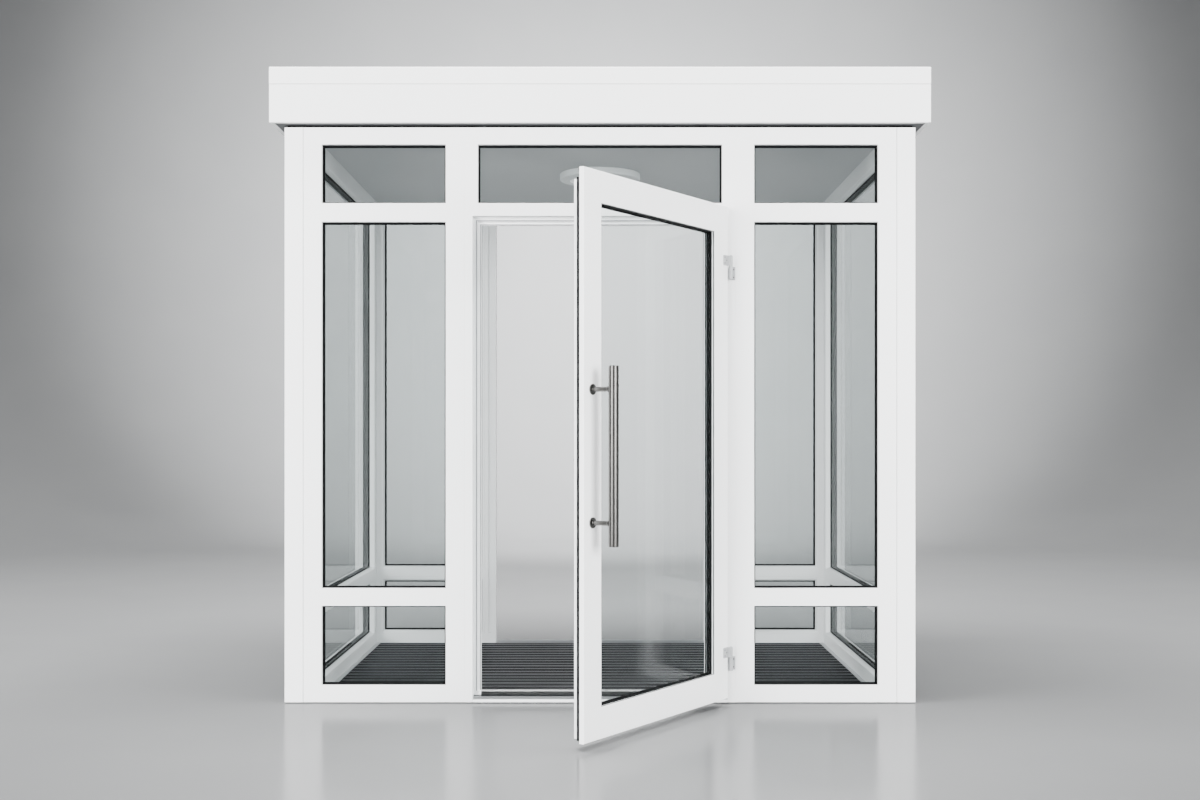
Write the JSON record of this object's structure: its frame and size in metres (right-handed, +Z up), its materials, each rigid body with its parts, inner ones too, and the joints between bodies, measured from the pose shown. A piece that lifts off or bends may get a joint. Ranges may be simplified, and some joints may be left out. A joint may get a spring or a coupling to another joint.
{
  "type": "glazed entrance vestibule",
  "caption": "Free-standing glazed entrance vestibule: white plastic frames on the front, sides and rear, flat boxed roof, ribbed floor mat and an outward-opening glazed door.",
  "frame": {"origin": "on the floor, at the centre of the walls' footprint, on the underside of the floor tray", "axes": "+X to the right seen from outside, +Y into the building that the vestibule stands against, +Z up"},
  "size_m": [2.85, 2.9535, 2.75],
  "materials": {
    "pvc": "smooth satin white window profile",
    "fascia": "satin white coated sheet",
    "glass": "clear sealed units with black spacers",
    "opal": "opal white light diffuser",
    "white_steel": "white powder coat",
    "membrane": "pale grey roof membrane",
    "seal": "black closed-cell seal",
    "aluminium": "natural anodised",
    "mat": "black ribbed mat with aluminium bars",
    "stainless": "brushed stainless"
  },
  "bodies": {
    "enclosure": {"post_front_left": "pvc", "post_front_right": "pvc", "post_rear_left": "pvc", "post_rear_right": "pvc", "front_frame_left": "pvc", "front_frame_right": "pvc", "door_jamb_left": "pvc", "door_jamb_right": "pvc", "door_head_fanlight": "pvc", "threshold": "aluminium", "side_frame_left": "pvc", "side_frame_right": "pvc", "rear_frame_left": "pvc", "rear_frame_right": "pvc", "rear_head": "pvc", "rear_threshold": "aluminium", "glass_front_left": "glass", "glass_front_right": "glass", "glass_fanlight": "glass", "glass_side_left": "glass", "glass_side_right": "glass", "glass_rear_left": "glass", "glass_rear_right": "glass", "glazing_beads": "pvc", "ceiling_panel": "pvc", "light_housing": "white_steel", "light_diffuser": "opal", "roof_seal": "seal", "soffit_board": "fascia", "fascia_front": "fascia", "fascia_rear": "fascia", "fascia_left": "fascia", "fascia_right": "fascia", "roof_trim": "fascia", "roof_deck": "membrane", "floor_tray": "aluminium", "mat_edge_frame": "aluminium", "entrance_mat": "mat", "hinge_frame_halves": "stainless"},
    "door_leaf": {"door_leaf_frame": "pvc", "door_leaf_glass": "glass", "door_leaf_beads": "pvc", "hinge_leaf_halves": "white_steel", "pull_handle": "stainless", "lock_cylinder": "stainless"}
  },
  "joints": [
    {"name": "door_hinge", "type": "hinge", "parent": "enclosure", "child": "door_leaf", "pos_m": [0.565, -0.988, 1.0495], "axis": [0, 0, 1], "range_deg": [-57, 43]}
  ]
}
